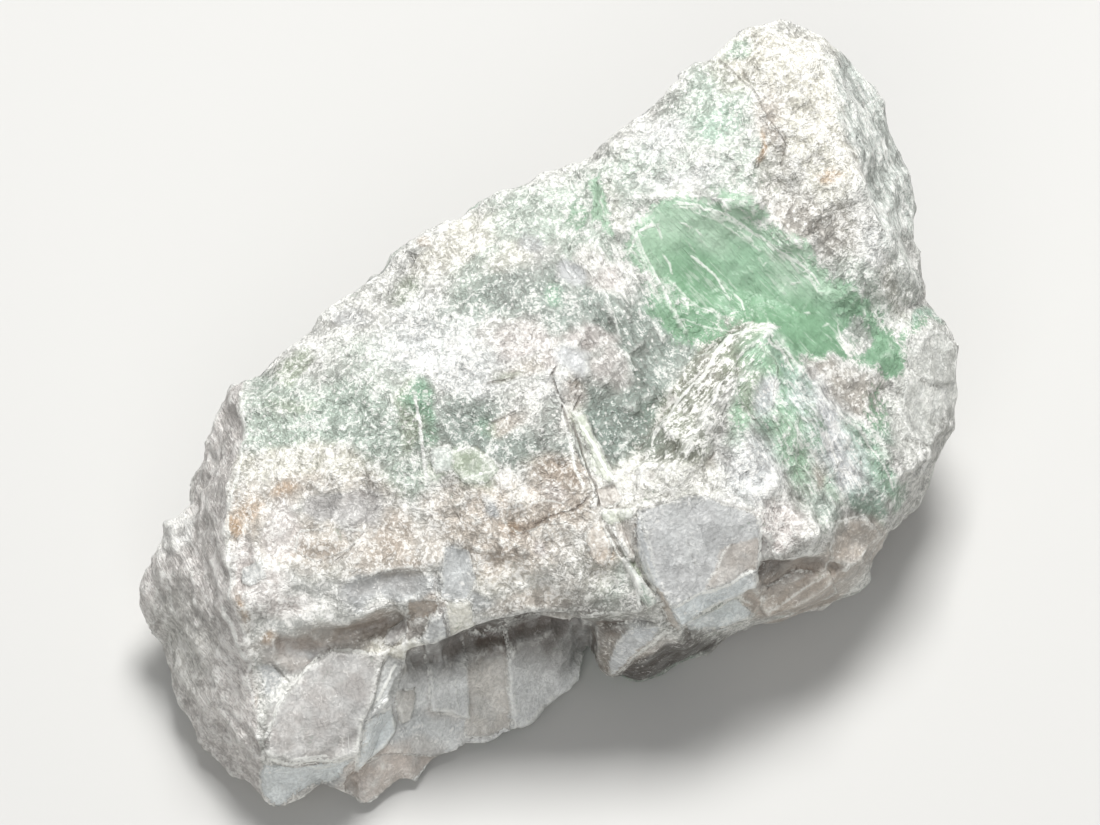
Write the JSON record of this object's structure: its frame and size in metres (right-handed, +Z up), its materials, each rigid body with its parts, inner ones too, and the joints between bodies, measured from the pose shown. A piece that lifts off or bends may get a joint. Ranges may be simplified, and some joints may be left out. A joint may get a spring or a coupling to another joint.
{
  "type": "rough variscite specimen",
  "caption": "Rough broken block of pale quartz and chalcedony veined with green variscite, lying on the flats of its underside.",
  "frame": {"origin": "on the table, under the middle of the rock's bounding box", "axes": "+X along the block, from the low end face to the summit; +Z up, away from the flats it rests on"},
  "size_m": [0.09, 0.0568, 0.0418],
  "materials": {
    "rough_variscite": "rough sugary break, waxy where it is green and glassy on the flake scars"
  },
  "bodies": {
    "root": {"variscite_rock": "rough_variscite"}
  },
  "joints": []
}
